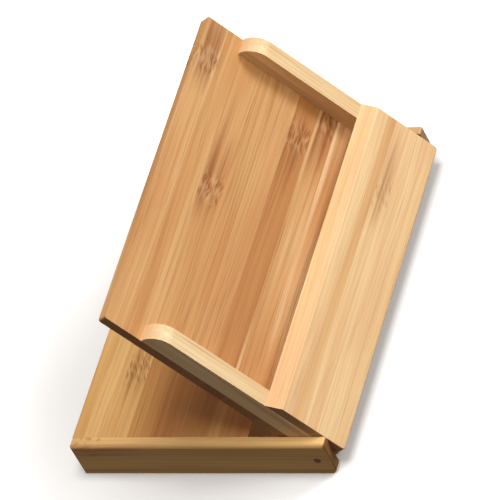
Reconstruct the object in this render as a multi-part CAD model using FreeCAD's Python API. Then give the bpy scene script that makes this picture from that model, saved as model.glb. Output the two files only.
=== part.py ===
# Business card box of laminated bamboo: a flat case and the card tray that swings out of it.
# It stands as photographed, with the case upside down, so that its bottom panel is uppermost,
# and the lid with its card tray folded back over it. X runs from the case's front edge to its
# hinge edge, Y from its left end to its right end, and Z up from the table.
# Lengths are in millimetres and angles in degrees.

import FreeCAD, Part
import math
import os

# Case
case_width = 110.0
case_depth = 75.8
case_height = 12.2
end_wall_thickness = 3.1
front_strip_width = 10.0

# Boards cut from one stock: bottom panel, lid panel and rear cover
board_thickness = 3.0

# Card tray on the lid
rail_width = 4.95
rail_set_back = 12.75
spacer_width = 10.0
cover_width = 21.2
cover_bevel_angle = 36.9

# Hinge pins, one through each end wall into the end of a rail
pin_diameter = 2.0
pin_length = 7.0
pin_set_back = 4.0
pin_height = 5.7
open_angle = 58.0

# Clearances
lid_end_gap = 0.2
lid_edge_set_back = 0.45
lid_face_set_back = 0.1
tray_gap = 0.2
bevel_gap = 0.7
pin_running_fit = 0.05
pin_glue_gap = 0.02
pin_end_gap = 0.3

# Softened edges
wall_top_radius = 1.3
wall_end_radius = 1.0
wall_hinge_corner_radius = 2.0
wall_corner_radius = 0.6
rail_edge_radius = 1.0
lid_corner_radius = 0.8
arris_radius = 0.3
pin_chamfer = 0.2

# Heights above the table with the lid shut: every layer of the closed box, from the lid up
lid_outer_z = lid_face_set_back
tray_floor_z = lid_outer_z + board_thickness
panel_inner_z = case_height - board_thickness
rail_top_z = panel_inner_z - tray_gap
cover_outer_z = rail_top_z + board_thickness

# Places along X with the lid shut
pin_x = case_depth - pin_set_back
lid_front_x = lid_edge_set_back
lid_rear_x = case_depth - lid_edge_set_back
cover_edge_x = lid_rear_x - cover_width
bevel_run = board_thickness / math.tan(math.radians(cover_bevel_angle))
nose_x = cover_edge_x - bevel_run
bevel_offset = bevel_gap / math.sin(math.radians(cover_bevel_angle))

# Places along Y
lid_left_y = end_wall_thickness + lid_end_gap
lid_width = case_width - 2 * lid_left_y

# The lid's hinge edge is rolled to an arc about the pin, so that it clears the table
roll_radius = pin_height - lid_outer_z

# The cover's outer rear edge reaches furthest back at the photographed angle. The part's
# origin lies on the table, midway between that reach and the case's front edge.
swing = math.radians(open_angle)
edge_centre_x = lid_rear_x - pin_x - arris_radius
edge_centre_z = cover_outer_z - arris_radius - pin_height
edge_reach = edge_centre_x * math.cos(swing) + edge_centre_z * math.sin(swing)
rear_reach_x = pin_x + edge_reach + arris_radius
origin_x = rear_reach_x / 2
origin_y = case_width / 2


def rounded_outline(corners):
    """Closed outline in the XZ plane through (x, z, radius) corners, each rounded by an arc."""
    entries = []
    count = len(corners)
    for index in range(count):
        x, z, radius = corners[index]
        here = FreeCAD.Vector(x, 0, z)
        before = FreeCAD.Vector(corners[index - 1][0], 0, corners[index - 1][1])
        after = FreeCAD.Vector(corners[(index + 1) % count][0], 0, corners[(index + 1) % count][1])
        if radius == 0:
            entries.append((here, None, here))
            continue
        to_before = (before - here).normalize()
        to_after = (after - here).normalize()
        half_turn = to_before.getAngle(to_after) / 2
        setback = radius / math.tan(half_turn)
        inward = (to_before + to_after).normalize()
        crown = here + inward * (radius / math.sin(half_turn) - radius)
        entries.append((here + to_before * setback, crown, here + to_after * setback))
    edges = []
    for index in range(count):
        start, crown, end = entries[index]
        if crown is not None:
            edges.append(Part.Arc(start, crown, end).toShape())
        following = entries[(index + 1) % count][0]
        edges.append(Part.LineSegment(end, following).toShape())
    return Part.Wire(edges)


def extruded(outline, y_start, length):
    """Solid swept from an XZ outline along +Y, starting at y_start."""
    face = Part.Face(outline)
    face.translate(FreeCAD.Vector(0, y_start, 0))
    return face.extrude(FreeCAD.Vector(0, length, 0))


def fillet_where(shape, radius, chosen):
    """Round the edges whose middle point passes the test."""
    edges = []
    for edge in shape.Edges:
        middle = edge.valueAt((edge.FirstParameter + edge.LastParameter) / 2)
        if chosen(middle):
            edges.append(edge)
    return shape.makeFillet(radius, edges)


def near(value, target):
    """True where two lengths agree to a hundredth of a millimetre."""
    return abs(value - target) < 0.01


def mirrored_end(shape):
    """The same piece at the box's other end."""
    return shape.mirror(FreeCAD.Vector(0, case_width / 2, 0), FreeCAD.Vector(0, 1, 0))


def pin_bore(radius, y_start, length):
    """Cylinder along +Y on the hinge axis."""
    return Part.makeCylinder(
        radius, length, FreeCAD.Vector(pin_x, y_start, pin_height), FreeCAD.Vector(0, 1, 0)
    )


def make_bottom_panel():
    """Board between the end walls; its rear edge is bevelled to lie along the cover's bevel."""
    rear_outer_x = cover_edge_x - bevel_offset
    rear_inner_x = rear_outer_x - bevel_run
    outline = rounded_outline([
        (0, panel_inner_z, 0),
        (rear_inner_x, panel_inner_z, arris_radius),
        (rear_outer_x, case_height, arris_radius / 2),
        (0, case_height, arris_radius),
    ])
    return extruded(outline, end_wall_thickness, case_width - 2 * end_wall_thickness)


def make_end_wall():
    """End wall: the common volume of its side, end and top outlines, bored for the pin.

    The top and the hinge end are rounded well over on the outside, the other edges only softened.
    """
    side = extruded(rounded_outline([
        (0, 0, arris_radius),
        (case_depth, 0, wall_hinge_corner_radius),
        (case_depth, case_height, wall_corner_radius),
        (0, case_height, wall_corner_radius),
    ]), 0, end_wall_thickness)
    end = extruded(rounded_outline([
        (0, 0, arris_radius),
        (end_wall_thickness, 0, 0),
        (end_wall_thickness, case_height, 0),
        (0, case_height, wall_top_radius),
    ]), 0, case_depth)
    end.rotate(FreeCAD.Vector(0, 0, 0), FreeCAD.Vector(0, 0, 1), 90)
    end.translate(FreeCAD.Vector(case_depth, 0, 0))
    top = extruded(rounded_outline([
        (0, 0, arris_radius),
        (case_depth, 0, wall_end_radius),
        (case_depth, end_wall_thickness, 0),
        (0, end_wall_thickness, 0),
    ]), 0, case_height)
    top.rotate(FreeCAD.Vector(0, 0, 0), FreeCAD.Vector(1, 0, 0), -90)
    top.translate(FreeCAD.Vector(0, 0, case_height))
    wall = side.common(end).common(top)
    bore_radius = pin_diameter / 2 + pin_glue_gap
    return wall.cut(pin_bore(bore_radius, -1, end_wall_thickness + 2))


def make_front_strip():
    """Strip that closes the card well at the front, between the panel and the shut lid."""
    underside_z = tray_floor_z + tray_gap
    outline = rounded_outline([
        (0, underside_z, arris_radius),
        (front_strip_width, underside_z, arris_radius),
        (front_strip_width, panel_inner_z, 0),
        (0, panel_inner_z, 0),
    ])
    return extruded(outline, end_wall_thickness, case_width - 2 * end_wall_thickness)


def make_hinge_pin():
    """Pin, flush with the end wall's outer face, with both its rims chamfered."""
    radius = pin_diameter / 2
    profile = Part.makePolygon([
        FreeCAD.Vector(0, 0, 0),
        FreeCAD.Vector(radius - pin_chamfer, 0, 0),
        FreeCAD.Vector(radius, pin_chamfer, 0),
        FreeCAD.Vector(radius, pin_length - pin_chamfer, 0),
        FreeCAD.Vector(radius - pin_chamfer, pin_length, 0),
        FreeCAD.Vector(0, pin_length, 0),
        FreeCAD.Vector(0, 0, 0),
    ])
    pin = Part.Face(profile).revolve(FreeCAD.Vector(0, 0, 0), FreeCAD.Vector(0, 1, 0), 360)
    pin.translate(FreeCAD.Vector(pin_x, 0, pin_height))
    return pin


def make_lid_panel():
    """Lid board: square at the front, and rolled about the pin along its hinge edge."""
    roll_depth = lid_rear_x - pin_x
    roll_height = math.sqrt(roll_radius ** 2 - roll_depth ** 2)
    roll_start = FreeCAD.Vector(pin_x, 0, lid_outer_z)
    roll_end = FreeCAD.Vector(lid_rear_x, 0, pin_height - roll_height)
    halfway = math.radians(45) + math.atan2(roll_height, roll_depth) / 2
    roll_middle = FreeCAD.Vector(
        pin_x + roll_radius * math.cos(halfway), 0, pin_height - roll_radius * math.sin(halfway)
    )
    front_bottom = FreeCAD.Vector(lid_front_x, 0, lid_outer_z)
    front_top = FreeCAD.Vector(lid_front_x, 0, tray_floor_z)
    rear_top = FreeCAD.Vector(lid_rear_x, 0, tray_floor_z)
    outline = Part.Wire([
        Part.LineSegment(front_bottom, roll_start).toShape(),
        Part.Arc(roll_start, roll_middle, roll_end).toShape(),
        Part.LineSegment(roll_end, rear_top).toShape(),
        Part.LineSegment(rear_top, front_top).toShape(),
        Part.LineSegment(front_top, front_bottom).toShape(),
    ])
    panel = extruded(outline, lid_left_y, lid_width)
    middle_z = (lid_outer_z + tray_floor_z) / 2
    panel = fillet_where(
        panel, lid_corner_radius, lambda point: near(point.x, lid_front_x) and near(point.z, middle_z)
    )

    def is_outer_arris(point):
        return near(point.z, lid_outer_z) and not near(point.x, pin_x)

    return fillet_where(panel, arris_radius, is_outer_arris)


def make_card_rail():
    """Rail at the tray's left end: quarter-round front, softened outer edge, bore for the pin."""
    rail_height = rail_top_z - tray_floor_z
    round_end_x = rail_set_back + rail_height
    slope = math.sqrt(0.5)
    foot = FreeCAD.Vector(rail_set_back, 0, tray_floor_z)
    crown = FreeCAD.Vector(
        round_end_x - rail_height * slope, 0, tray_floor_z + rail_height * slope
    )
    round_end = FreeCAD.Vector(round_end_x, 0, rail_top_z)
    nose_top = FreeCAD.Vector(nose_x, 0, rail_top_z)
    nose_bottom = FreeCAD.Vector(nose_x, 0, tray_floor_z)
    outline = Part.Wire([
        Part.Arc(foot, crown, round_end).toShape(),
        Part.LineSegment(round_end, nose_top).toShape(),
        Part.LineSegment(nose_top, nose_bottom).toShape(),
        Part.LineSegment(nose_bottom, foot).toShape(),
    ])
    open_length = extruded(outline, lid_left_y, rail_width)

    def is_outer_top(point):
        on_face = near(point.y, lid_left_y)
        return on_face and point.z > tray_floor_z + 0.05 and point.x < nose_x - 0.05

    open_length = fillet_where(open_length, rail_edge_radius, is_outer_top)
    covered_length = Part.makeBox(
        lid_rear_x - nose_x, rail_width, rail_height,
        FreeCAD.Vector(nose_x, lid_left_y, tray_floor_z)
    )
    rail = open_length.fuse(covered_length).removeSplitter()
    bore_depth = pin_length - lid_left_y + pin_end_gap
    bore = pin_bore(pin_diameter / 2 + pin_running_fit, lid_left_y - 1, bore_depth + 1)
    return rail.cut(bore)


def make_rear_spacer():
    """Bar between the rails at the hinge edge, which the cover is glued to."""
    outline = rounded_outline([
        (lid_rear_x - spacer_width, tray_floor_z, 0),
        (lid_rear_x, tray_floor_z, 0),
        (lid_rear_x, rail_top_z, 0),
        (lid_rear_x - spacer_width, rail_top_z, 0),
    ])
    return extruded(outline, lid_left_y + rail_width, lid_width - 2 * rail_width)


def make_rear_cover():
    """Board over the rails at the hinge edge, with a long bevel down to a nose at the front."""
    outline = rounded_outline([
        (nose_x, rail_top_z, arris_radius / 2),
        (lid_rear_x, rail_top_z, 0),
        (lid_rear_x, cover_outer_z, 0),
        (cover_edge_x, cover_outer_z, 0),
    ])
    cover = extruded(outline, lid_left_y, lid_width)
    middle_z = (rail_top_z + cover_outer_z) / 2
    cover = fillet_where(
        cover, lid_corner_radius, lambda point: near(point.x, lid_rear_x) and near(point.z, middle_z)
    )
    return fillet_where(cover, arris_radius, lambda point: near(point.z, cover_outer_z))


def swung_open(shape):
    """A lid piece, drawn with the box shut, turned back about the pins."""
    shape.rotate(FreeCAD.Vector(pin_x, 0, pin_height), FreeCAD.Vector(0, 1, 0), open_angle)
    return shape


def export_piece(name, shape):
    """Move a piece from the case's corner to the part's origin, and write its file."""
    shape.translate(FreeCAD.Vector(-origin_x, -origin_y, 0))
    shape.exportStep(os.path.join("parts", name + ".step"))


os.makedirs("parts", exist_ok=True)

end_wall = make_end_wall()
hinge_pin = make_hinge_pin()
card_rail = make_card_rail()

case_pieces = {
    "bottom_panel": make_bottom_panel(),
    "left_end_wall": end_wall,
    "right_end_wall": mirrored_end(end_wall),
    "front_strip": make_front_strip(),
    "left_hinge_pin": hinge_pin,
    "right_hinge_pin": mirrored_end(hinge_pin),
}
lid_pieces = {
    "lid_panel": make_lid_panel(),
    "left_card_rail": card_rail,
    "right_card_rail": mirrored_end(card_rail),
    "rear_spacer": make_rear_spacer(),
    "rear_cover": make_rear_cover(),
}

for name, shape in case_pieces.items():
    export_piece(name, shape)
for name, shape in lid_pieces.items():
    export_piece(name, swung_open(shape))

print("origin from the case's front left corner:", round(origin_x, 3), origin_y)
print("hinge axis in the part's frame:", round(pin_x - origin_x, 3), pin_height)
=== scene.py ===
"""Business card box of laminated bamboo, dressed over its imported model.

The flat case lies upside down, and its lid, which carries the card tray, is folded back over it.
Every piece is drawn in millimetres as it sits in the shut box, with X from the front edge to the
hinge edge, Y along the hinge and Z up from the lid's outer face, and is then put in its place.
"""

import logging
import math
from dataclasses import dataclass
from enum import Enum
from typing import Callable, Optional, Sequence

import bmesh
import bpy
from bmesh.types import BMEdge, BMesh, BMVert
from mathutils import Matrix, Quaternion, Vector


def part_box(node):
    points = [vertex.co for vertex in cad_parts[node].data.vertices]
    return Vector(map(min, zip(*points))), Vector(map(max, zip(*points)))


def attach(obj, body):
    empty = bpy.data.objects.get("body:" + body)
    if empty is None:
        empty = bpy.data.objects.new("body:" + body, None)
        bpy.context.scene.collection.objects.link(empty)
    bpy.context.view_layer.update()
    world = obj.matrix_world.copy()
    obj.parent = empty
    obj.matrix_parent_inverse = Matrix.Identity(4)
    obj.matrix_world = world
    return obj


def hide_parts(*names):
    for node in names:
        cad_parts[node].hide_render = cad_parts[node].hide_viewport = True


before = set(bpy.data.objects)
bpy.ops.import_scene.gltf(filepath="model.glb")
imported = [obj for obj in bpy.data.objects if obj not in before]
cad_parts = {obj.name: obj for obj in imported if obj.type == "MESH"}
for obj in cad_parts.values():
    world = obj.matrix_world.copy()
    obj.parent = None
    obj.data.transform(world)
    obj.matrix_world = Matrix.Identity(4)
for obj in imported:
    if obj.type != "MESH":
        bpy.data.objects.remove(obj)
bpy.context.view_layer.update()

MM = 0.001
END_GRAIN = "end_grain"
ROUNDING = "bevel_weight_edge"

log = logging.getLogger("card_box")


def linear(hex_colour: str) -> tuple[float, float, float, float]:
    """Turn an sRGB hex colour into linear light.

    Args:
        hex_colour: six hex digits after a hash sign.

    Returns:
        Linear red, green and blue, and an alpha of 1.
    """
    shares = [int(hex_colour[start:start + 2], 16) / 255 for start in (1, 3, 5)]
    light = [c / 12.92 if c <= 0.04045 else ((c + 0.055) / 1.055) ** 2.4 for c in shares]
    return (*light, 1.0)


def add_node(tree: bpy.types.NodeTree, kind: str, sockets: Optional[dict] = None, **settings: object) -> bpy.types.Node:
    """Add a node with its settings and links.

    Args:
        tree: the node tree that gets the node.
        kind: the node's type, without its ShaderNode prefix.
        sockets: a value, or another node's output to link, for each input by name or number.
        settings: the node's own properties.

    Returns:
        The new node.
    """
    node = tree.nodes.new("ShaderNode" + kind)
    for name, value in settings.items():
        setattr(node, name, value)
    for key, value in (sockets or {}).items():
        if isinstance(value, bpy.types.NodeSocket):
            tree.links.new(value, node.inputs[key])
        else:
            node.inputs[key].default_value = value
    return node


class Grain(Enum):
    """How a piece is cut from the bamboo: which box axis runs across, along and through its strips."""

    ALONG_THE_WIDTH = ("X", "Y", "Z")
    ALONG_THE_DEPTH = ("Z", "X", "Y")

    @property
    def along(self) -> Vector:
        """Direction of the fibres in the shut box."""
        return Vector([float(axis == self.value[1]) for axis in "XYZ"])


@dataclass(frozen=True)
class Strip:
    """One bamboo strip of a glued-up board.

    Attributes:
        width: across the grain, in millimetres.
        shade: from 0, pale straw, to 1, brown.
        knuckle: where along the grain the culm's knuckle crosses the strip, if it does.
        trail: 1 or -1, the way along the grain in which the knuckle's dark mark trails off.
    """

    width: float
    shade: float
    knuckle: Optional[float] = None
    trail: int = 1


@dataclass(frozen=True)
class LacqueredBamboo:
    """Carbonised bamboo laminate: strips glued edge to edge, sanded flush and lacquered satin.

    It shows honey-coloured strips that differ a little in tone, fine fibres and short dark
    bundles along the grain, a wrinkled knuckle here and there, and darker, dotted end grain.

    Attributes:
        name: what the material is called.
        grain: how the piece is cut.
        first_edge: where the first strip starts across the grain, in millimetres.
        strips: the strips, in order.
        lot: moves the fibre pattern, so that no two boards share it.
        tones: the wood's colours from its palest to its darkest strip.
    """

    name: str
    grain: Grain
    first_edge: float
    strips: tuple[Strip, ...]
    lot: float
    tones: tuple[str, ...] = ("#F3D1A1", "#DCA96D", "#CD9253", "#B9793D", "#9A592A")
    rose: str = "#CC8852"
    fibre: str = "#A0602C"
    bundle: str = "#8A5023"
    mark: str = "#8C480C"
    end_tone: str = "#824C1F"
    fibre_pitch: float = 0.5
    fibre_length: float = 45.0
    bundle_pitch: float = 0.95
    bundle_length: float = 26.0
    knuckle_length: float = 9.0
    boldness: float = 0.9
    relief: float = 0.03
    roughness: float = 0.45

    def material(self, placing: Matrix) -> bpy.types.Material:
        """Make the material for a piece that is placed so.

        Args:
            placing: the move from the shut box, in millimetres, to the row's frame, in metres.

        Returns:
            The material, with its pattern fixed to the wood.
        """
        made = bpy.data.materials.new(self.name)
        made.use_nodes = True
        tree = made.node_tree
        tree.nodes.clear()
        across, along, through = self._wood_axes(tree, placing)
        strip = self._strip_values(tree, across)
        ahead = self._past_the_knuckle(tree, along, strip)
        ring = self._ring(tree, ahead)
        fibres = self._fibre_space(tree, across, along, through, strip)
        fine = self._stretched_noise(tree, fibres, self.fibre_pitch, self.fibre_length, 3.0)
        broad = self._stretched_noise(tree, fibres, 2.2, 90.0, 2.0)
        drift = self._stretched_noise(tree, fibres, 9.0, 50.0, 0.0)
        bundles = self._bundles(tree, fibres, strip)
        wrinkles, ridges = self._wrinkles(tree, fibres, strip, ring, ahead)
        trail = self._trail(tree, ahead, strip, broad)
        colour = self._wood_colour(tree, strip, fine, broad, drift)
        colour = self._marked(tree, colour, bundles, wrinkles, ridges, trail)
        ends = add_node(tree, "Attribute", attribute_name=END_GRAIN)
        colour = self._end_grain(tree, colour, ends.outputs["Fac"], bundles)
        height = self._height(tree, fine, bundles, wrinkles)
        firm = add_node(tree, "MapRange", {"Value": ends.outputs["Fac"], "To Min": 0.6, "To Max": 0.15})
        bump = add_node(tree, "Bump", {
            "Height": height, "Strength": firm.outputs["Result"], "Distance": self.relief * MM,
        })
        gloss = add_node(tree, "MapRange", {
            "Value": fine, "To Min": self.roughness - 0.07, "To Max": self.roughness + 0.1,
        })
        shader = add_node(tree, "BsdfPrincipled", {
            "Base Color": colour, "Roughness": gloss.outputs["Result"], "Normal": bump.outputs["Normal"],
            "IOR": 1.5, "Coat Weight": 0.06, "Coat Roughness": 0.3, "Coat IOR": 1.5,
        })
        add_node(tree, "OutputMaterial", {"Surface": shader.outputs["BSDF"]})
        return made

    def _wood_axes(self, tree: bpy.types.NodeTree, placing: Matrix) -> tuple[bpy.types.NodeSocket, ...]:
        """Bring a surface point back to the shut box, and name its coordinates by the grain.

        Args:
            tree: the material's nodes.
            placing: the move from the shut box to the row's frame.

        Returns:
            The distances across, along and through the strips, in millimetres.
        """
        place = add_node(tree, "TexCoord")
        local = add_node(tree, "Mapping", {
            "Vector": place.outputs["Object"], "Location": placing.to_translation(),
            "Rotation": placing.to_euler(), "Scale": placing.to_scale(),
        }, vector_type="TEXTURE")
        axes = add_node(tree, "SeparateXYZ", {"Vector": local.outputs["Vector"]})
        return tuple(axes.outputs[axis] for axis in self.grain.value)

    def _strip_values(self, tree: bpy.types.NodeTree, across: bpy.types.NodeSocket) -> dict[str, bpy.types.NodeSocket]:
        """Look up which strip a point is in.

        Args:
            tree: the material's nodes.
            across: the distance across the grain.

        Returns:
            The strip's shade, knuckle place, trail side and lot, and how far across it the point is.
        """
        span = sum(strip.width for strip in self.strips)
        share = add_node(tree, "MapRange", {
            "Value": across, "From Min": self.first_edge, "From Max": self.first_edge + span,
        }).outputs["Result"]
        shapes, marks = [], []
        start = 0.0
        for number, strip in enumerate(self.strips):
            place = -45.0 if strip.knuckle is None else strip.knuckle
            shapes.append((start / span, (start / span, strip.width / span, strip.shade)))
            marks.append((start / span, ((place + 50) / 200, (strip.trail + 1) / 2, (number * 0.377 + self.lot) % 1)))
            start += strip.width
        layout = self._lookup(tree, share, shapes)
        marking = self._lookup(tree, share, marks)
        from_edge = add_node(tree, "Math", {0: share, 1: layout["Red"]}, operation="SUBTRACT")
        part = add_node(tree, "Math", {0: from_edge.outputs[0], 1: layout["Green"]}, operation="DIVIDE", use_clamp=True)
        return {
            "part": part.outputs[0], "shade": layout["Blue"], "knuckle": marking["Red"],
            "side": marking["Green"], "lot": marking["Blue"],
        }

    @staticmethod
    def _lookup(
        tree: bpy.types.NodeTree, share: bpy.types.NodeSocket, rows: Sequence[tuple[float, tuple[float, float, float]]]
    ) -> bpy.types.bpy_prop_collection:
        """Give each strip three values of its own.

        Args:
            tree: the material's nodes.
            share: how far across the board a point is, from 0 to 1.
            rows: where each strip starts, and its values.

        Returns:
            The outputs that carry the three values.
        """
        ramp = add_node(tree, "ValToRGB", {"Fac": share})
        stops = ramp.color_ramp.elements
        ramp.color_ramp.interpolation = "CONSTANT"
        stops.remove(stops[1])
        stops[0].position, stops[0].color = rows[0][0], (*rows[0][1], 1.0)
        for start, values in rows[1:]:
            stops.new(start).color = (*values, 1.0)
        return add_node(tree, "SeparateColor", {"Color": ramp.outputs["Color"]}).outputs

    @staticmethod
    def _past_the_knuckle(
        tree: bpy.types.NodeTree, along: bpy.types.NodeSocket, strip: dict[str, bpy.types.NodeSocket]
    ) -> bpy.types.NodeSocket:
        """Measure along the grain from the strip's knuckle, growing the way its mark trails off.

        Args:
            tree: the material's nodes.
            along: the distance along the grain.
            strip: the strip's values.

        Returns:
            The distance in millimetres.
        """
        place = add_node(tree, "MapRange", {"Value": strip["knuckle"], "To Min": -50.0, "To Max": 150.0})
        gap = add_node(tree, "Math", {0: along, 1: place.outputs["Result"]}, operation="SUBTRACT")
        side = add_node(tree, "MapRange", {"Value": strip["side"], "To Min": -1.0, "To Max": 1.0})
        return add_node(tree, "Math", {0: gap.outputs[0], 1: side.outputs["Result"]}, operation="MULTIPLY").outputs[0]

    def _ring(self, tree: bpy.types.NodeTree, ahead: bpy.types.NodeSocket) -> bpy.types.NodeSocket:
        """Mark the knuckle's own length.

        Args:
            tree: the material's nodes.
            ahead: the distance past the knuckle.

        Returns:
            1 on the knuckle, falling to 0 at its ends.
        """
        distance = add_node(tree, "Math", {0: ahead}, operation="ABSOLUTE")
        return add_node(tree, "MapRange", {
            "Value": distance.outputs[0], "From Min": 0.25 * self.knuckle_length, "From Max": 0.75 * self.knuckle_length,
            "To Min": 1.0, "To Max": 0.0,
        }, interpolation_type="SMOOTHSTEP").outputs["Result"]

    @staticmethod
    def _fibre_space(
        tree: bpy.types.NodeTree, across: bpy.types.NodeSocket, along: bpy.types.NodeSocket,
        through: bpy.types.NodeSocket, strip: dict[str, bpy.types.NodeSocket]
    ) -> bpy.types.NodeSocket:
        """Let the fibres wander a little, and give each strip wood of its own.

        Args:
            tree: the material's nodes.
            across: the distance across the grain.
            along: the distance along the grain.
            through: the depth in the board.
            strip: the strip's values.

        Returns:
            The point in the fibres' own space, in millimetres.
        """
        depth = add_node(tree, "Math", {0: strip["lot"], 1: 83.0, 2: through}, operation="MULTIPLY_ADD")
        straight = add_node(tree, "CombineXYZ", {"X": across, "Y": along, "Z": depth.outputs[0]})
        slow = add_node(tree, "VectorMath", {0: straight.outputs[0], 1: (0.06, 0.018, 0.05)}, operation="MULTIPLY")
        wander = add_node(tree, "TexNoise", {"Vector": slow.outputs[0], "Scale": 1.0, "Detail": 0.0})
        sway = add_node(tree, "MapRange", {"Value": wander.outputs["Fac"], "To Min": -0.8, "To Max": 0.8})
        moved = add_node(tree, "Math", {0: across, 1: sway.outputs["Result"]}, operation="ADD")
        return add_node(tree, "CombineXYZ", {"X": moved.outputs[0], "Y": along, "Z": depth.outputs[0]}).outputs[0]

    @staticmethod
    def _stretched_noise(
        tree: bpy.types.NodeTree, fibres: bpy.types.NodeSocket, pitch: float, length: float, detail: float
    ) -> bpy.types.NodeSocket:
        """Draw streaks along the fibres.

        Args:
            tree: the material's nodes.
            fibres: the point in the fibres' space.
            pitch: the streaks' spacing across the grain, in millimetres.
            length: the streaks' length, in millimetres.
            detail: how many finer layers are in them.

        Returns:
            A value from 0 to 1.
        """
        scaled = add_node(tree, "VectorMath", {0: fibres, 1: (1 / pitch, 1 / length, 1 / pitch)}, operation="MULTIPLY")
        return add_node(tree, "TexNoise", {
            "Vector": scaled.outputs[0], "Scale": 1.0, "Detail": detail, "Roughness": 0.6,
        }).outputs["Fac"]

    def _bundles(
        self, tree: bpy.types.NodeTree, fibres: bpy.types.NodeSocket, strip: dict[str, bpy.types.NodeSocket]
    ) -> bpy.types.NodeSocket:
        """Scatter the short dark vessel bundles, closer together towards one side of each strip.

        Args:
            tree: the material's nodes.
            fibres: the point in the fibres' space.
            strip: the strip's values.

        Returns:
            1 in a bundle and 0 between them.
        """
        scale = (1 / self.bundle_pitch, 1 / self.bundle_length, 1 / self.bundle_pitch)
        scaled = add_node(tree, "VectorMath", {0: fibres, 1: scale}, operation="MULTIPLY")
        cells = add_node(tree, "TexVoronoi", {"Vector": scaled.outputs[0], "Scale": 1.0, "Randomness": 1.0})
        core = add_node(tree, "MapRange", {
            "Value": cells.outputs["Distance"], "From Min": 0.1, "From Max": 0.34, "To Min": 1.0, "To Max": 0.0,
        }, interpolation_type="SMOOTHSTEP")
        chance = add_node(tree, "SeparateColor", {"Color": cells.outputs["Color"]})
        crowd = add_node(tree, "MapRange", {"Value": strip["part"], "To Min": 0.25, "To Max": 0.85})
        kept = add_node(tree, "Math", {0: crowd.outputs["Result"], 1: chance.outputs["Red"]}, operation="GREATER_THAN")
        return add_node(tree, "Math", {0: core.outputs["Result"], 1: kept.outputs[0]}, operation="MULTIPLY").outputs[0]

    @staticmethod
    def _wrinkles(
        tree: bpy.types.NodeTree, fibres: bpy.types.NodeSocket, strip: dict[str, bpy.types.NodeSocket],
        ring: bpy.types.NodeSocket, ahead: bpy.types.NodeSocket
    ) -> tuple[bpy.types.NodeSocket, bpy.types.NodeSocket]:
        """Draw the short dark lines of a knuckle, where the bundles bend and are cut at a slant.

        Args:
            tree: the material's nodes.
            fibres: the point in the fibres' space.
            strip: the strip's values.
            ring: 1 on a knuckle.
            ahead: the distance past the knuckle.

        Returns:
            1 on a line and 0 off it; 1 on the paler wood between lines and 0 off it.
        """
        lean = add_node(tree, "MapRange", {"Value": strip["lot"], "To Min": -0.35, "To Max": 0.35})
        quick = add_node(tree, "VectorMath", {0: fibres, 1: (0.35, 0.3, 0.4)}, operation="MULTIPLY")
        bend = add_node(tree, "TexNoise", {"Vector": quick.outputs[0], "Scale": 1.0, "Detail": 1.0})
        kink = add_node(tree, "MapRange", {"Value": bend.outputs["Fac"], "To Min": -0.8, "To Max": 0.8})
        shift = add_node(tree, "Math", {
            0: ahead, 1: lean.outputs["Result"], 2: kink.outputs["Result"],
        }, operation="MULTIPLY_ADD")
        aside = add_node(tree, "CombineXYZ", {"X": shift.outputs[0]})
        bent = add_node(tree, "VectorMath", {0: fibres, 1: aside.outputs[0]}, operation="ADD")
        scaled = add_node(tree, "VectorMath", {0: bent.outputs[0], 1: (1 / 0.6, 1 / 3.6, 1 / 1.8)}, operation="MULTIPLY")
        cells = add_node(tree, "TexVoronoi", {"Vector": scaled.outputs[0], "Scale": 1.0, "Randomness": 0.9})
        line = add_node(tree, "MapRange", {
            "Value": cells.outputs["Distance"], "From Min": 0.22, "From Max": 0.5, "To Min": 1.0, "To Max": 0.0,
        }, interpolation_type="SMOOTHSTEP")
        gap = add_node(tree, "MapRange", {
            "Value": cells.outputs["Distance"], "From Min": 0.5, "From Max": 0.75,
        }, interpolation_type="SMOOTHSTEP")
        dark = add_node(tree, "Math", {0: line.outputs["Result"], 1: ring}, operation="MULTIPLY")
        pale = add_node(tree, "Math", {0: gap.outputs["Result"], 1: ring}, operation="MULTIPLY")
        return dark.outputs[0], pale.outputs[0]

    def _trail(
        self, tree: bpy.types.NodeTree, ahead: bpy.types.NodeSocket, strip: dict[str, bpy.types.NodeSocket],
        broad: bpy.types.NodeSocket
    ) -> bpy.types.NodeSocket:
        """Draw the dark mark that trails off from a knuckle along its strip.

        Args:
            tree: the material's nodes.
            ahead: the distance past the knuckle.
            strip: the strip's values.
            broad: the broad streaks, which fray the mark's end.

        Returns:
            1 in the mark's darkest part, falling to 0.
        """
        rise = add_node(tree, "MapRange", {
            "Value": ahead, "From Min": -1.6 * self.knuckle_length, "From Max": 0.1 * self.knuckle_length,
        }, interpolation_type="SMOOTHSTEP")
        fall = add_node(tree, "MapRange", {
            "Value": ahead, "From Min": 0.5 * self.knuckle_length, "From Max": 2.8 * self.knuckle_length,
            "To Min": 1.0, "To Max": 0.0,
        }, interpolation_type="SMOOTHSTEP")
        length = add_node(tree, "Math", {0: rise.outputs["Result"], 1: fall.outputs["Result"]}, operation="MULTIPLY")
        frayed = add_node(tree, "MapRange", {"Value": broad, "From Min": 0.36, "From Max": 0.56, "To Min": 0.2, "To Max": 1.0})
        side = add_node(tree, "Math", {0: strip["part"], 1: 0.5}, operation="PINGPONG")
        inner = add_node(tree, "MapRange", {"Value": side.outputs[0], "From Min": 0.0, "From Max": 0.12})
        body = add_node(tree, "Math", {0: length.outputs[0], 1: frayed.outputs["Result"]}, operation="MULTIPLY")
        return add_node(tree, "Math", {0: body.outputs[0], 1: inner.outputs["Result"]}, operation="MULTIPLY").outputs[0]

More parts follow.
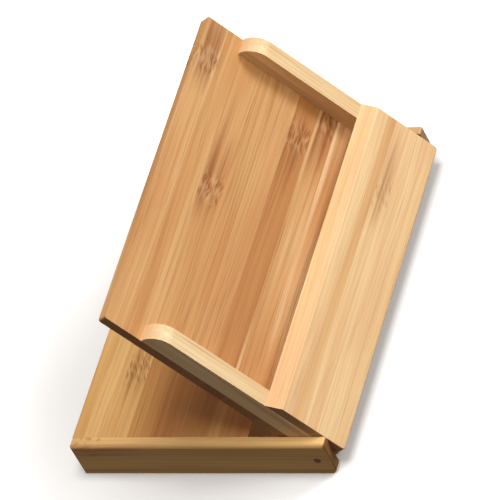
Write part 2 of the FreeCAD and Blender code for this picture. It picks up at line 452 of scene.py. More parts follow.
    def _wood_colour(
        self, tree: bpy.types.NodeTree, strip: dict[str, bpy.types.NodeSocket], fine: bpy.types.NodeSocket,
        broad: bpy.types.NodeSocket, drift: bpy.types.NodeSocket
    ) -> bpy.types.NodeSocket:
        """Colour the clear wood: the strip's shade, moved by the broad streaks, with fibres drawn in.

        Args:
            tree: the material's nodes.
            strip: the strip's values.
            fine: the fine fibres.
            broad: the broad streaks.
            drift: the slow change of tone.

        Returns:
            The colour.
        """
        slow = add_node(tree, "MapRange", {"Value": drift, "To Min": -0.22, "To Max": 0.22})
        streak = add_node(tree, "MapRange", {"Value": broad, "To Min": -0.26, "To Max": 0.26})
        cloud = add_node(tree, "Math", {0: slow.outputs["Result"], 1: streak.outputs["Result"]}, operation="ADD")
        shade = add_node(tree, "Math", {0: strip["shade"], 1: cloud.outputs[0]}, operation="ADD", use_clamp=True)
        tone = add_node(tree, "ValToRGB", {"Fac": shade.outputs[0]})
        stops = tone.color_ramp.elements
        stops[0].color = linear(self.tones[0])
        stops[1].color = linear(self.tones[-1])
        for number, colour in enumerate(self.tones[1:-1], start=1):
            stops.new(number / (len(self.tones) - 1)).color = linear(colour)
        blush = add_node(tree, "MapRange", {"Value": drift, "From Min": 0.4, "From Max": 0.7, "To Max": 0.35})
        warmed = add_node(tree, "Mix", {
            "Factor": blush.outputs["Result"], "A": tone.outputs["Color"], "B": linear(self.rose),
        }, data_type="RGBA")
        dark = add_node(tree, "MapRange", {"Value": fine, "From Min": 0.48, "From Max": 0.66, "To Max": 0.44 * self.boldness})
        return add_node(tree, "Mix", {
            "Factor": dark.outputs["Result"], "A": warmed.outputs["Result"], "B": linear(self.fibre),
        }, data_type="RGBA").outputs["Result"]

    def _marked(
        self, tree: bpy.types.NodeTree, colour: bpy.types.NodeSocket, bundles: bpy.types.NodeSocket,
        wrinkles: bpy.types.NodeSocket, ridges: bpy.types.NodeSocket, trail: bpy.types.NodeSocket
    ) -> bpy.types.NodeSocket:
        """Lay the bundles and the knuckles' marks over the clear wood.

        Args:
            tree: the material's nodes.
            colour: the clear wood's colour.
            bundles: 1 in a vessel bundle.
            wrinkles: 1 on a knuckle's line.
            ridges: 1 on the paler wood between its lines.
            trail: 1 in a knuckle's dark mark.

        Returns:
            The colour.
        """
        speck = add_node(tree, "Math", {0: bundles, 1: 0.33 * self.boldness}, operation="MULTIPLY")
        specked = add_node(tree, "Mix", {
            "Factor": speck.outputs[0], "A": colour, "B": linear(self.bundle),
        }, data_type="RGBA")
        stain = add_node(tree, "Math", {0: trail, 1: 0.85 * self.boldness}, operation="MULTIPLY")
        stained = add_node(tree, "Mix", {
            "Factor": stain.outputs[0], "A": specked.outputs["Result"], "B": linear(self.mark),
        }, data_type="RGBA")
        ridge = add_node(tree, "Math", {0: ridges, 1: 0.24 * self.boldness}, operation="MULTIPLY")
        lifted = add_node(tree, "Mix", {
            "Factor": ridge.outputs[0], "A": stained.outputs["Result"], "B": linear(self.tones[0]),
        }, data_type="RGBA")
        line = add_node(tree, "Math", {0: wrinkles, 1: 0.75 * self.boldness}, operation="MULTIPLY")
        return add_node(tree, "Mix", {
            "Factor": line.outputs[0], "A": lifted.outputs["Result"], "B": linear(self.mark),
        }, data_type="RGBA").outputs["Result"]

    def _end_grain(
        self, tree: bpy.types.NodeTree, colour: bpy.types.NodeSocket, ends: bpy.types.NodeSocket,
        bundles: bpy.types.NodeSocket
    ) -> bpy.types.NodeSocket:
        """Darken the sawn ends, where the open fibres drink the lacquer and the bundles show as dots.

        Args:
            tree: the material's nodes.
            colour: the long grain's colour.
            ends: 1 where the surface cuts across the fibres.
            bundles: 1 in a vessel bundle.

        Returns:
            The colour.
        """
        soaked = add_node(tree, "MapRange", {"Value": bundles, "To Min": 0.7, "To Max": 0.95})
        share = add_node(tree, "Math", {0: ends, 1: soaked.outputs["Result"]}, operation="MULTIPLY")
        return add_node(tree, "Mix", {
            "Factor": share.outputs[0], "A": colour, "B": linear(self.end_tone),
        }, data_type="RGBA").outputs["Result"]

    @staticmethod
    def _height(
        tree: bpy.types.NodeTree, fine: bpy.types.NodeSocket, bundles: bpy.types.NodeSocket,
        wrinkles: bpy.types.NodeSocket
    ) -> bpy.types.NodeSocket:
        """Let the fibres stand up a hair, and the bundles and knuckle lines sink in.

        Args:
            tree: the material's nodes.
            fine: the fine fibres.
            bundles: 1 in a vessel bundle.
            wrinkles: 1 on a knuckle's line.

        Returns:
            The height, as a share of the relief.
        """
        pores = add_node(tree, "Math", {0: bundles, 1: -0.5, 2: fine}, operation="MULTIPLY_ADD")
        return add_node(tree, "Math", {0: wrinkles, 1: -0.5, 2: pores.outputs[0]}, operation="MULTIPLY_ADD").outputs[0]


@dataclass(frozen=True)
class BronzedSteel:
    """Steel wire, cut, tumbled and bronzed: a dull brown metal, a little lighter where it rubs."""

    name: str = "bronzed_steel_wire"
    colour: str = "#A9796A"
    rubbed: str = "#C39C8C"
    roughness: float = 0.42
    grit: float = 0.15

    def material(self) -> bpy.types.Material:
        """Make the material."""
        made = bpy.data.materials.new(self.name)
        made.use_nodes = True
        tree = made.node_tree
        tree.nodes.clear()
        place = add_node(tree, "TexCoord")
        scaled = add_node(tree, "Mapping", {"Vector": place.outputs["Object"], "Scale": (1 / (self.grit * MM),) * 3})
        grain = add_node(tree, "TexNoise", {"Vector": scaled.outputs["Vector"], "Scale": 1.0, "Detail": 3.0})
        worn = add_node(tree, "MapRange", {"Value": grain.outputs["Fac"], "From Min": 0.5, "From Max": 0.75, "To Max": 0.6})
        colour = add_node(tree, "Mix", {
            "Factor": worn.outputs["Result"], "A": linear(self.colour), "B": linear(self.rubbed),
        }, data_type="RGBA")
        rough = add_node(tree, "MapRange", {
            "Value": grain.outputs["Fac"], "To Min": self.roughness - 0.1, "To Max": self.roughness + 0.15,
        })
        bump = add_node(tree, "Bump", {"Height": grain.outputs["Fac"], "Strength": 0.4, "Distance": 0.01 * MM})
        shader = add_node(tree, "BsdfPrincipled", {
            "Base Color": colour.outputs["Result"], "Metallic": 1.0, "Roughness": rough.outputs["Result"],
            "Normal": bump.outputs["Normal"],
        })
        add_node(tree, "OutputMaterial", {"Surface": shader.outputs["BSDF"]})
        return made


def sawn(outline: Sequence[tuple[float, float]], y_start: float, y_end: float) -> BMesh:
    """Saw a piece to length: a cross-section of the shut box, run along the hinge.

    Args:
        outline: the section's (x, z) corners.
        y_start: where the piece starts.
        y_end: where it ends.

    Returns:
        The closed piece.
    """
    piece = bmesh.new()
    section = piece.faces.new([piece.verts.new((x, y_start, z)) for x, z in outline])
    run(piece, section, y_end - y_start)
    return piece


def run(piece: BMesh, section: bmesh.types.BMFace, length: float) -> None:
    """Extrude a cross-section along Y and close it.

    Args:
        piece: the mesh that holds the section.
        section: its only face.
        length: how far it runs.
    """
    grown = bmesh.ops.extrude_face_region(piece, geom=[section])["geom"]
    bmesh.ops.translate(piece, vec=(0, length, 0), verts=[item for item in grown if isinstance(item, BMVert)])
    bmesh.ops.recalc_face_normals(piece, faces=piece.faces)


def soften(piece: BMesh, radius: float, segments: int, chosen: Callable[[Vector, Vector], bool]) -> None:
    """Round the edges that pass a test.

    Args:
        piece: the piece in the shut box, in millimetres.
        radius: the rounding's radius.
        segments: how many faces it gets.
        chosen: tells from an edge's middle and its direction whether it is rounded.
    """
    edges = [
        edge for edge in piece.edges
        if edge.calc_face_angle(0.0) > math.radians(20) and chosen(middle(edge), heading(edge))
    ]
    bmesh.ops.bevel(
        piece, geom=edges, offset=radius, offset_type="OFFSET", segments=segments, profile=0.5,
        affect="EDGES", clamp_overlap=True, material=-1,
    )


def middle(edge: BMEdge) -> Vector:
    """The middle of an edge."""
    return (edge.verts[0].co + edge.verts[1].co) / 2


def heading(edge: BMEdge) -> Vector:
    """The direction of an edge, without its sign."""
    return Vector([abs(part) for part in (edge.verts[1].co - edge.verts[0].co).normalized()])


def near(value: float, target: float) -> bool:
    """Whether two lengths agree to a hundredth of a millimetre."""
    return abs(value - target) < 0.01


def bored(piece: BMesh, centre: tuple[float, float], radius: float, y_mouth: float, y_end: float, through: bool) -> None:
    """Bore a round hole along Y through a flat side of a piece.

    Args:
        piece: the piece in the shut box, in millimetres.
        centre: the hole's (x, z).
        radius: its radius.
        y_mouth: the flat side that it starts from.
        y_end: the flat side that it leaves by, or the depth of its bottom.
        through: whether it leaves the piece.
    """
    count = 32
    reach = 1.6 * radius
    rims = []
    for y in (y_mouth, y_end)[:2 if through else 1]:
        for axis, at in enumerate(centre):
            for side in (-reach, reach):
                faces = [face for face in piece.faces if abs(face.normal.y) > 0.99 and near(face.calc_center_median().y, y)]
                cut_through = list({item for face in faces for item in (face, *face.edges, *face.verts)})
                normal = Vector((1, 0, 0)) if axis == 0 else Vector((0, 0, 1))
                bmesh.ops.bisect_plane(piece, geom=cut_through, dist=1e-5, plane_co=normal * (at + side), plane_no=normal)
        patch = [
            face for face in piece.faces
            if near(face.calc_center_median().x, centre[0]) and near(face.calc_center_median().z, centre[1])
            and near(face.calc_center_median().y, y)
        ]
        border = list(patch[0].edges)
        bmesh.ops.delete(piece, geom=patch, context="FACES_ONLY")
        split = bmesh.ops.subdivide_edges(piece, edges=border, cuts=count // 4 - 1, use_grid_fill=False)["geom_split"]
        square = [item for item in split if isinstance(item, BMEdge)]
        place = Matrix.Translation((centre[0], y, centre[1])) @ Matrix.Rotation(math.pi / 2, 4, "X")
        ring = bmesh.ops.create_circle(piece, segments=count, radius=radius, matrix=place)["verts"]
        rim = list({edge for vert in ring for edge in vert.link_edges})
        bmesh.ops.bridge_loops(piece, edges=square + rim)
        rims.append(rim)
    if through:
        bmesh.ops.bridge_loops(piece, edges=rims[0] + rims[1])
    else:
        grown = bmesh.ops.extrude_edge_only(piece, edges=rims[0])["geom"]
        bottom = [item for item in grown if isinstance(item, BMVert)]
        bmesh.ops.translate(piece, vec=(0, y_end - y_mouth, 0), verts=bottom)
        bmesh.ops.contextual_create(piece, geom=[item for item in grown if isinstance(item, BMEdge) and all(v in bottom for v in item.verts)])
    bmesh.ops.recalc_face_normals(piece, faces=piece.faces)


@dataclass(frozen=True)
class Hinge:
    """The line that the lid turns on, in the shut box, and how far it stands open."""

    x: float = 71.8
    z: float = 5.7
    open_angle: float = 58.0
    pin_radius: float = 1.0
    pin_length: float = 7.0
    pin_chamfer: float = 0.2
    running_fit: float = 0.05
    glue_gap: float = 0.02

    @property
    def point(self) -> Vector:
        """A point on the line."""
        return Vector((self.x, 0, self.z))


@dataclass
class SubAssembly:
    """Pieces that move together.

    Attributes:
        hinge: the line that the lid turns on.
        width: the box over its end walls.
        depth: the box from its front edge to its hinge edge.
        arris: the radius of a softened edge.
    """

    hinge: Hinge
    width: float = 110.0
    depth: float = 75.8
    arris: float = 0.3

    body = ""

    def placing(self) -> Matrix:
        """Give the move from the shut box, in millimetres, to the row's frame, in metres."""
        front_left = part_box("bottom_panel")[0].x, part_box("left_end_wall")[0].y
        return Matrix.Translation((*front_left, 0)) @ Matrix.Scale(MM, 4)

    def mirrored(self, piece: BMesh) -> BMesh:
        """Make the same piece for the box's other end.

        Args:
            piece: the piece at the left end.

        Returns:
            A mirrored copy.
        """
        copy = piece.copy()
        bmesh.ops.scale(copy, vec=(1, -1, 1), verts=copy.verts)
        bmesh.ops.translate(copy, vec=(0, self.width, 0), verts=copy.verts)
        bmesh.ops.recalc_face_normals(copy, faces=copy.faces)
        return copy

    def fit(
        self, piece: BMesh, name: str, node: str, slot: str, material: bpy.types.Material,
        fibres: Optional[Vector] = None, rounding: float = 0.0
    ) -> bpy.types.Object:
        """Put a finished piece in its place, in its material, on its body.

        Args:
            piece: the piece in the shut box, in millimetres. It is used up.
            name: what the piece is called.
            node: the CAD node that it stands for.
            slot: the name of a material slot; not used.
            material: its finish.
            fibres: the direction of its grain in the shut box.
            rounding: the radius of its edges whose rounding weight is 1.

        Returns:
            The piece's object.
        """
        piece.normal_update()
        weights = piece.edges.layers.float.get(ROUNDING)
        ends = piece.faces.layers.float.new(END_GRAIN)
        for face in piece.faces:
            face.smooth = True
            across_fibres = abs(face.normal.dot(fibres)) if fibres else 0.0
            face[ends] = min(1.0, max(0.0, (across_fibres - 0.4) / 0.4))
        for edge in piece.edges:
            edge.smooth = edge.calc_face_angle(0.0) < math.radians(40) or bool(weights and edge[weights])
        piece.transform(self.placing())
        mesh = bpy.data.meshes.new(name)
        piece.to_mesh(mesh)
        piece.free()
        mesh.materials.append(material)
        made = bpy.data.objects.new(name, mesh)
        bpy.context.scene.collection.objects.link(made)
        if rounding:
            edges = made.modifiers.new("rounded_edges", "BEVEL")
            edges.limit_method = "WEIGHT"
            edges.width = rounding * MM
            edges.segments = 8
        shading = made.modifiers.new("even_shading", "WEIGHTED_NORMAL")
        shading.keep_sharp = True
        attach(made, self.body)
        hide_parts(node)
        log.info("%s: %d faces, rides on %s, stands for %s", name, len(mesh.polygons), self.body, node)
        return made


@dataclass
class Case(SubAssembly):
    """The case, lying upside down: bottom panel, end walls, front strip and hinge pins.

    Attributes:
        height: the case's height.
        wall: the end walls' thickness.
        wall_top: the rounding of the walls' outer upper edge.
        wall_end: the rounding of their outer edge at the hinge end.
        wall_corner: the rounding of their upper corners.
        hinge_corner: the larger rounding of their lower corner by the pin.
        board: the bottom panel's thickness.
        rear_edge: where the bottom panel's upper face ends.
        rear_edge_inside: where its lower face ends, so that its edge is bevelled.
        strip_width: the front strip's width.
        strip_underside: the height of its lower face.
    """

    height: float = 12.2
    wall: float = 3.1
    wall_top: float = 1.3
    wall_end: float = 1.0
    wall_corner: float = 0.6
    hinge_corner: float = 2.0
    board: float = 3.0
    rear_edge: float = 52.984
    rear_edge_inside: float = 48.988
    strip_width: float = 10.0
    strip_underside: float = 3.3

    body = "case"

    def build(self) -> None:
        """Build and dress every piece of the case."""
        fibres = Grain.ALONG_THE_WIDTH.along
        panel = BOTTOM_PANEL_FINISH.material(self.placing())
        self.fit(self.bottom_panel(), "bottom_panel_bamboo", "bottom_panel", "bamboo_case", panel, fibres)
        strip = FRONT_STRIP_FINISH.material(self.placing())
        self.fit(self.front_strip(), "front_strip_bamboo", "front_strip", "bamboo_case", strip, fibres)
        near_bamboo = WALL_FINISH.material(self.placing())
        # The far wall takes darker, duller tones as painted shade, and a pale greyish end grain as a painted
        # reflection.
        far_bamboo_painted_shade = FAR_WALL_PAINTED_SHADE_AND_REFLECTION_FINISH.material(self.placing())
        wall = self.end_wall()
        other_wall = self.mirrored(wall)
        fibres = Grain.ALONG_THE_DEPTH.along
        rounding = self.hinge_corner
        self.fit(wall, "left_wall_bamboo", "left_end_wall", "bamboo_wall", near_bamboo, fibres, rounding)
        self.fit(other_wall, "right_wall_bamboo", "right_end_wall", "bamboo_wall", far_bamboo_painted_shade, fibres, rounding)
        steel = BronzedSteel().material()
        pin = self.hinge_pin()
        other_pin = self.mirrored(pin)
        self.fit(pin, "left_pin_steel", "left_hinge_pin", "hinge_pin", steel)
        self.fit(other_pin, "right_pin_steel", "right_hinge_pin", "hinge_pin", steel)

    def bottom_panel(self) -> BMesh:
        """Board between the end walls, bevelled along its rear edge."""
        inner = self.height - self.board
        outline = [(0, inner), (self.rear_edge_inside, inner), (self.rear_edge, self.height), (0, self.height)]
        piece = sawn(outline, self.wall, self.width - self.wall)
        soften(piece, self.arris, 4, lambda at, way: way.y > 0.99 and near(at.x, 0) and near(at.z, self.height))
        soften(piece, self.arris / 2, 3, lambda at, way: way.y > 0.99 and near(at.x, self.rear_edge))
        soften(piece, self.arris, 4, lambda at, way: way.y > 0.99 and near(at.x, self.rear_edge_inside))
        return piece

    def end_wall(self) -> BMesh:
        """End wall with the pin's bore, and a rounding weight on each edge that is rounded."""
        outline = [(0, 0), (self.depth, 0), (self.depth, self.height), (0, self.height)]
        piece = sawn(outline, 0, self.wall)
        bore = self.hinge.pin_radius + self.hinge.glue_gap
        bored(piece, (self.hinge.x, self.hinge.z), bore, 0, self.wall, True)
        weights = piece.edges.layers.float.new(ROUNDING)
        for edge in piece.edges:
            edge[weights] = self._wall_rounding(middle(edge), heading(edge)) / self.hinge_corner
        return piece

    def _wall_rounding(self, at: Vector, way: Vector) -> float:
        """Look up how far a wall's edge is rounded.

        Args:
            at: the edge's middle.
            way: its direction.

        Returns:
            The radius, or 0 for an edge that stays as it is.
        """
        front, rear = near(at.x, 0), near(at.x, self.depth)
        low, high = near(at.z, 0), near(at.z, self.height)
        if way.y > 0.99 and (front or rear) and (low or high):
            return self.wall_corner if high else self.hinge_corner if rear else self.arris
        if near(at.y, 0) and (front or rear) and way.z > 0.99:
            return self.wall_end if rear else self.arris
        if near(at.y, 0) and (low or high) and way.x > 0.99:
            return self.wall_top if high else self.arris
        return 0.0

    def front_strip(self) -> BMesh:
        """Strip that closes the card well at the front."""
        top = self.height - self.board
        low = self.strip_underside
        piece = sawn([(0, low), (self.strip_width, low), (self.strip_width, top), (0, top)], self.wall, self.width - self.wall)
        soften(piece, self.arris, 4, lambda at, way: way.y > 0.99 and near(at.z, low))
        return piece

    def hinge_pin(self) -> BMesh:
        """Steel pin, flush with the end wall, with chamfered rims."""
        hinge = self.hinge
        piece = bmesh.new()
        place = Matrix.Translation((hinge.x, hinge.pin_length / 2, hinge.z)) @ Matrix.Rotation(math.pi / 2, 4, "X")
        bmesh.ops.create_cone(
            piece, cap_ends=True, segments=48, radius1=hinge.pin_radius, radius2=hinge.pin_radius,
            depth=hinge.pin_length, matrix=place,
        )
        soften(piece, hinge.pin_chamfer, 2, lambda at, way: way.y < 0.1)
        return piece


@dataclass
class TrayLid(SubAssembly):
    """The lid, folded back: its panel, the card rails, the rear spacer and the cover over them.

    Attributes:
        end: where the lid starts, beside the end wall.
        front: its free edge.
        rear: its hinge edge.
        outer: the height of the panel's outer face.
        tray_floor: the height of the tray's floor.
        rail_top: the height of the rails.
        cover_top: the height of the cover's outer face.
        corner: the rounding of the lid's corners.
        roll: the radius of the hinge edge's roll about the pin.
        rail_width: the rails' width.
        rail_set_back: where the rails start.
        rail_edge: the rounding of the rails' outer upper edge.
        rail_bore_end: how deep the pin's bore reaches.
        spacer_width: the spacer's width.
        nose: where the cover's bevel starts.
        cover_edge: where the bevel ends.
    """

    end: float = 3.3
    front: float = 0.45
    rear: float = 75.35
    outer: float = 0.1
    tray_floor: float = 3.1
    rail_top: float = 9.0
    cover_top: float = 12.0
    corner: float = 0.8
    roll: float = 5.6
    rail_width: float = 4.95
    rail_set_back: float = 12.75
    rail_edge: float = 1.0
    rail_bore_end: float = 7.3
    spacer_width: float = 10.0
    nose: float = 50.154
    cover_edge: float = 54.15

    body = "lid"

    def placing(self) -> Matrix:
        """Give the move from the shut box to the row's frame, with the lid swung open."""
        swing = Matrix.Rotation(math.radians(self.hinge.open_angle), 4, "Y")
        there = Matrix.Translation(self.hinge.point)
        return super().placing() @ there @ swing @ there.inverted()

    def build(self) -> None:
        """Build and dress every piece of the lid."""
        fibres = Grain.ALONG_THE_WIDTH.along
        board = LID_PANEL_FINISH.material(self.placing())
        self.fit(self.lid_panel(), "lid_panel_bamboo", "lid_panel", "bamboo_tray", board, fibres)
        over = COVER_FINISH.material(self.placing())
        self.fit(self.rear_cover(), "rear_cover_bamboo", "rear_cover", "bamboo_cover", over, fibres)
        bar = SPACER_FINISH.material(self.placing())
        self.fit(self.rear_spacer(), "rear_spacer_bamboo", "rear_spacer", "bamboo_rail", bar, fibres)
        rail_stock = RAIL_FINISH.material(self.placing())
        rail = self.card_rail()
        other_rail = self.mirrored(rail)
        fibres = Grain.ALONG_THE_DEPTH.along
        self.fit(rail, "left_rail_bamboo", "left_card_rail", "bamboo_rail", rail_stock, fibres)
        self.fit(other_rail, "right_rail_bamboo", "right_card_rail", "bamboo_rail", rail_stock, fibres)

    def lid_panel(self) -> BMesh:
        """Tray's floor board, rolled about the pin along its hinge edge."""
        piece = bmesh.new()
        start = piece.verts.new((self.hinge.x, self.end, self.outer))
        turn = math.asin((self.rear - self.hinge.x) / self.roll)
        centre = self.hinge.point + Vector((0, self.end, 0))
        bmesh.ops.spin(piece, geom=[start], cent=centre, axis=(0, 1, 0), angle=-turn, steps=12)
        arc = sorted(piece.verts, key=lambda vert: vert.co.x)
        corners = [(self.rear, self.tray_floor), (self.front, self.tray_floor), (self.front, self.outer)]
        section = piece.faces.new([*arc, *(piece.verts.new((x, self.end, z)) for x, z in corners)])
        run(piece, section, self.width - 2 * self.end)
        soften(piece, self.corner, 8, lambda at, way: way.z > 0.99 and near(at.x, self.front))
        soften(piece, self.arris, 4, lambda at, way: near(at.z, self.outer))
        return piece

    def card_rail(self) -> BMesh:
        """Rail with a quarter-round front, a softened outer edge and the pin's bore."""
        low, top = self.tray_floor, self.rail_top
        front = self.rail_set_back
        piece = sawn([(front, low), (self.rear, low), (self.rear, top), (front, top)], self.end, self.end + self.rail_width)
        everything = [*piece.verts, *piece.edges, *piece.faces]
        bmesh.ops.bisect_plane(piece, geom=everything, dist=1e-5, plane_co=(self.nose, 0, 0), plane_no=(1, 0, 0))
        soften(piece, top - low - 0.001, 20, lambda at, way: way.y > 0.99 and near(at.x, front) and near(at.z, top))
        soften(piece, self.rail_edge, 6, lambda at, way: near(at.y, self.end) and at.z > low + 0.05 and at.x < self.nose - 0.05)
        bore = self.hinge.pin_radius + self.hinge.running_fit
        bored(piece, (self.hinge.x, self.hinge.z), bore, self.end, self.rail_bore_end, False)
        return piece

    def rear_spacer(self) -> BMesh:
        """Bar between the rails at the hinge edge."""
        front = self.rear - self.spacer_width
        ends = self.end + self.rail_width
        outline = [(front, self.tray_floor), (self.rear, self.tray_floor), (self.rear, self.rail_top), (front, self.rail_top)]
        return sawn(outline, ends, self.width - ends)

    def rear_cover(self) -> BMesh:
        """Board over the rails, with a long bevel down to its nose."""
        low, top = self.rail_top, self.cover_top
        outline = [(self.nose, low), (self.rear, low), (self.rear, top), (self.cover_edge, top)]
        piece = sawn(outline, self.end, self.width - self.end)
        soften(piece, self.corner, 8, lambda at, way: way.z > 0.99 and near(at.x, self.rear))
        soften(piece, self.arris / 2, 3, lambda at, way: way.y > 0.99 and near(at.x, self.nose))
        soften(piece, self.arris, 4, lambda at, way: near(at.z, top))
        return piece


AMBER_TONES = ("#F3C680", "#E5B06A", "#D1954F", "#B47434", "#925222")
FAR_WALL_PAINTED_SHADE_TONES = ("#D8B687", "#CCA270", "#BA8953", "#A06A37", "#814B24")
PALE_TONES = ("#F7D19A", "#ECBE84", "#DAA366", "#C98D4F", "#AE753C")
RAIL_TONES = ("#FAE0B4", "#F2D09B", "#E4BA84", "#CD9B62", "#B07840")

BOTTOM_PANEL_FINISH = LacqueredBamboo(
    name="laminated_bamboo_bottom_panel", grain=Grain.ALONG_THE_WIDTH, first_edge=0.0, lot=0.13,
    strips=(
        # The strips from 23.5 mm on lie under the lifted lid: their dark shades are partly the wood's own tone and
        # partly painted shade of the lid.
        Strip(3.2, 0.26), Strip(6.6, 0.22), Strip(6.7, 0.34, 26.0), Strip(7.0, 0.48), Strip(6.6, 0.74),
        Strip(6.9, 0.6), Strip(6.7, 0.52, 88.0, -1), Strip(9.2, 0.55),
    ),
    tones=AMBER_TONES, boldness=0.7,
)
FRONT_STRIP_FINISH = LacqueredBamboo(
    name="laminated_bamboo_front_strip", grain=Grain.ALONG_THE_WIDTH, first_edge=0.0, lot=0.41,
    strips=(Strip(4.1, 0.45), Strip(5.9, 0.35, 71.0)),
)
WALL_FINISH = LacqueredBamboo(
    name="laminated_bamboo_end_wall", grain=Grain.ALONG_THE_DEPTH, first_edge=0.0, lot=0.29,
    strips=(Strip(2.0, 0.34), Strip(5.6, 0.27), Strip(4.6, 0.16, 5.0)), tones=AMBER_TONES, boldness=0.5,
)
# Painted shade and reflection: the far wall's darker, duller tones tone down the key light on its top, and its pale
# greyish end tone paints a reflection on its end grain.
FAR_WALL_PAINTED_SHADE_AND_REFLECTION_FINISH = LacqueredBamboo(
    name="laminated_bamboo_far_end_wall_painted_shade", grain=Grain.ALONG_THE_DEPTH, first_edge=0.0, lot=0.71,
    strips=(Strip(2.0, 0.34), Strip(5.6, 0.27), Strip(4.6, 0.16)), tones=FAR_WALL_PAINTED_SHADE_TONES, boldness=0.5, end_tone="#C39A7C",
)
LID_PANEL_FINISH = LacqueredBamboo(
    name="laminated_bamboo_tray_floor", grain=Grain.ALONG_THE_WIDTH, first_edge=0.0, lot=0.57,
    strips=(
        Strip(7.6, 0.34, 94.0), Strip(6.5, 0.44), Strip(7.0, 0.42, 58.0), Strip(6.6, 0.44),
        Strip(6.7, 0.28), Strip(7.0, 0.64, 89.0, -1), Strip(0.9, 0.3), Strip(5.7, 0.38, 99.0, -1),
        # Painted light: the 6.8 mm strip by the cover's nose is made pale to cancel the shade that falls beside the
        # nose.
        Strip(6.8, 0.2), Strip(6.7, 0.4, 37.0), Strip(6.7, 0.55), Strip(7.5, 0.45),
    ),
)
COVER_FINISH = LacqueredBamboo(
    name="laminated_bamboo_rear_cover", grain=Grain.ALONG_THE_WIDTH, first_edge=50.0, lot=0.83,
    strips=(
        # Painted shade: the first strip covers the bevel, and its darker shade tones down the brighter light that the
        # bevel catches.
        Strip(4.4, 0.24), Strip(3.5, 0.14), Strip(2.8, 0.34), Strip(4.8, 0.14, 82.0), Strip(6.6, 0.08), Strip(3.4, 0.16),
    ),
    tones=PALE_TONES, rose="#E6AE84", boldness=0.55,
)
SPACER_FINISH = LacqueredBamboo(
    name="laminated_bamboo_spacer", grain=Grain.ALONG_THE_WIDTH, first_edge=65.3, lot=0.07,
    strips=(Strip(5.2, 0.4), Strip(4.9, 0.3)),
)
RAIL_FINISH = LacqueredBamboo(
    name="laminated_bamboo_rail", grain=Grain.ALONG_THE_DEPTH, first_edge=3.0, lot=0.67,
    strips=(Strip(2.9, 0.4), Strip(3.2, 0.3)), tones=RAIL_TONES, rose="#E0AC7C", end_tone="#DEB788",
    boldness=0.6, roughness=0.58,
)


@dataclass(frozen=True)
class Softbox:
    """A square studio light.

    Attributes:
        name: what it is called.
        place: where it hangs, in metres.
        size: the length of its side, in metres.
        power: in watts.
        colour: its light's colour.
    """

    name: str
    place: tuple[float, float, float]
    size: float
    power: float
    colour: str = "#FFFFFF"

    def hang(self, target: Vector) -> None:
        """Hang the light.

        Args:
            target: the point that it faces.
        """
        lamp = bpy.data.lights.new(self.name, "AREA")
        lamp.shape = "SQUARE"
        lamp.size = self.size
        lamp.energy = self.power
        lamp.color = linear(self.colour)[:3]
        made = bpy.data.objects.new(self.name, lamp)
        made.location = self.place
        made.rotation_mode = "QUATERNION"
        made.rotation_quaternion = (target - Vector(self.place)).to_track_quat("-Z", "Y")
        bpy.context.scene.collection.objects.link(made)


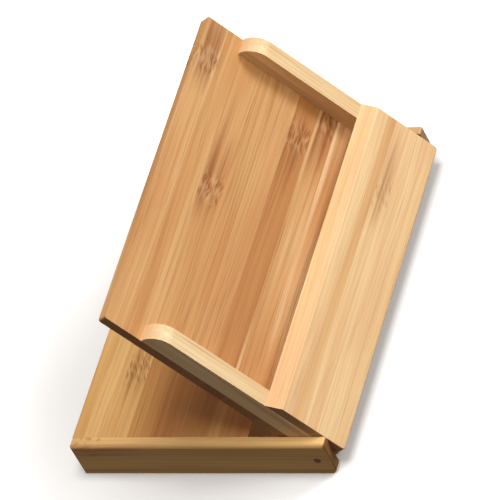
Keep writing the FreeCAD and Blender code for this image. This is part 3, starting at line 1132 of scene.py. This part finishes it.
@dataclass(frozen=True)
class Studio:
    """Pale floor, soft light and the camera at the photograph's angle.

    Attributes:
        azimuth: the camera's turn round the object, in degrees. 0 looks along +Y.
        elevation: its height above the horizon, in degrees.
        roll: its turn about the line of sight, in degrees.
        distance: from the camera to its target, in metres.
        target: the point in the middle of the picture, in metres.
        lens: its focal length, in millimetres, on a sensor 36 mm wide.
        floor_radius: the floor's radius, in metres.
        floor_colour: the floor's colour.
        fill_colour: the colour of the light from all round.
        fill: its strength.
        boxes: the softboxes.
    """

    azimuth: float = 37.795
    elevation: float = 44.595
    roll: float = -29.676
    distance: float = 1.51447
    target: tuple[float, float, float] = (0.000511, 0.005923, 0.019741)
    lens: float = 400.15
    floor_radius: float = 4.0
    floor_colour: str = "#FBFAF8"
    fill_colour: str = "#FFF4EA"
    fill: float = 0.145
    boxes: tuple[Softbox, ...] = (
        Softbox("key_softbox", (0.68, 0.68, 0.7), 0.5, 8.6),
        Softbox("overhead_softbox", (0.1, -0.02, 1.05), 0.5, 7.8),
        Softbox("left_softbox", (-0.9, 0.0, 0.55), 0.5, 1.7),
    )

    def build(self) -> None:
        """Set up the floor, the lights and the camera."""
        self._floor()
        self._fill_light()
        for box in self.boxes:
            box.hang(Vector((0, 0, 0.03)))
        self._camera()
        bpy.context.scene.view_settings.view_transform = "Standard"

    def _floor(self) -> None:
        """Lay the floor. It is seen and catches shadows, but throws no light back at the box. Beyond the box's foot it
        glows more and more: painted light that whitens it and washes out its shadows there.
        """
        piece = bmesh.new()
        bmesh.ops.create_circle(piece, cap_ends=True, segments=96, radius=self.floor_radius)
        mesh = bpy.data.meshes.new("studio_floor")
        piece.to_mesh(mesh)
        piece.free()
        floor = bpy.data.objects.new("studio_floor", mesh)
        bpy.context.scene.collection.objects.link(floor)
        floor.visible_diffuse = False
        floor.visible_glossy = False
        made = bpy.data.materials.new("matt_floor_paper_painted_glow")
        made.use_nodes = True
        tree = made.node_tree
        tree.nodes.clear()
        place = add_node(tree, "TexCoord")
        reach = add_node(tree, "VectorMath", {0: place.outputs["Object"]}, operation="LENGTH")
        # Painted light: the floor's own glow rises from 55 mm to 100 mm off the middle.
        glow = add_node(tree, "MapRange", {
            "Value": reach.outputs["Value"], "From Min": 0.055, "From Max": 0.1, "To Max": 0.3,
        }, interpolation_type="SMOOTHSTEP")
        tooth = add_node(tree, "TexNoise", {"Vector": place.outputs["Object"], "Scale": 900.0, "Detail": 2.0})
        bump = add_node(tree, "Bump", {"Height": tooth.outputs["Fac"], "Strength": 0.1, "Distance": 0.05 * MM})
        shader = add_node(tree, "BsdfPrincipled", {
            "Base Color": linear(self.floor_colour), "Roughness": 0.9, "Specular IOR Level": 0.1,
            "Normal": bump.outputs["Normal"], "Emission Color": (1.0, 1.0, 1.0, 1.0),
            "Emission Strength": glow.outputs["Result"],
        })
        add_node(tree, "OutputMaterial", {"Surface": shader.outputs["BSDF"]})
        mesh.materials.append(made)

    def _fill_light(self) -> None:
        """Fill the room with weak, even light."""
        world = bpy.data.worlds.new("studio_room")
        world.use_nodes = True
        tree = world.node_tree
        tree.nodes.clear()
        glow = add_node(tree, "Background", {"Color": linear(self.fill_colour), "Strength": self.fill})
        add_node(tree, "OutputWorld", {"Surface": glow.outputs["Background"]})
        bpy.context.scene.world = world

    def _camera(self) -> None:
        """Stand the camera where the photograph was taken from."""
        turn, rise = math.radians(self.azimuth), math.radians(self.elevation)
        back = Vector((math.sin(turn) * math.cos(rise), -math.cos(turn) * math.cos(rise), math.sin(rise)))
        lens = bpy.data.cameras.new("photo_camera")
        lens.lens = self.lens
        lens.sensor_width = 36.0
        lens.clip_start, lens.clip_end = 0.05, 20.0
        camera = bpy.data.objects.new("photo_camera", lens)
        camera.location = Vector(self.target) + back * self.distance
        camera.rotation_mode = "QUATERNION"
        level = (-back).to_track_quat("-Z", "Y")
        camera.rotation_quaternion = level @ Quaternion((0, 0, 1), math.radians(self.roll))
        bpy.context.scene.collection.objects.link(camera)
        bpy.context.scene.camera = camera


def main() -> None:
    """Build the box and the studio."""
    logging.basicConfig(level=logging.INFO, format="%(message)s")
    hinge = Hinge()
    for part in (Case(hinge), TrayLid(hinge)):
        part.build()
    Studio().build()


if __name__ == "__main__":
    main()
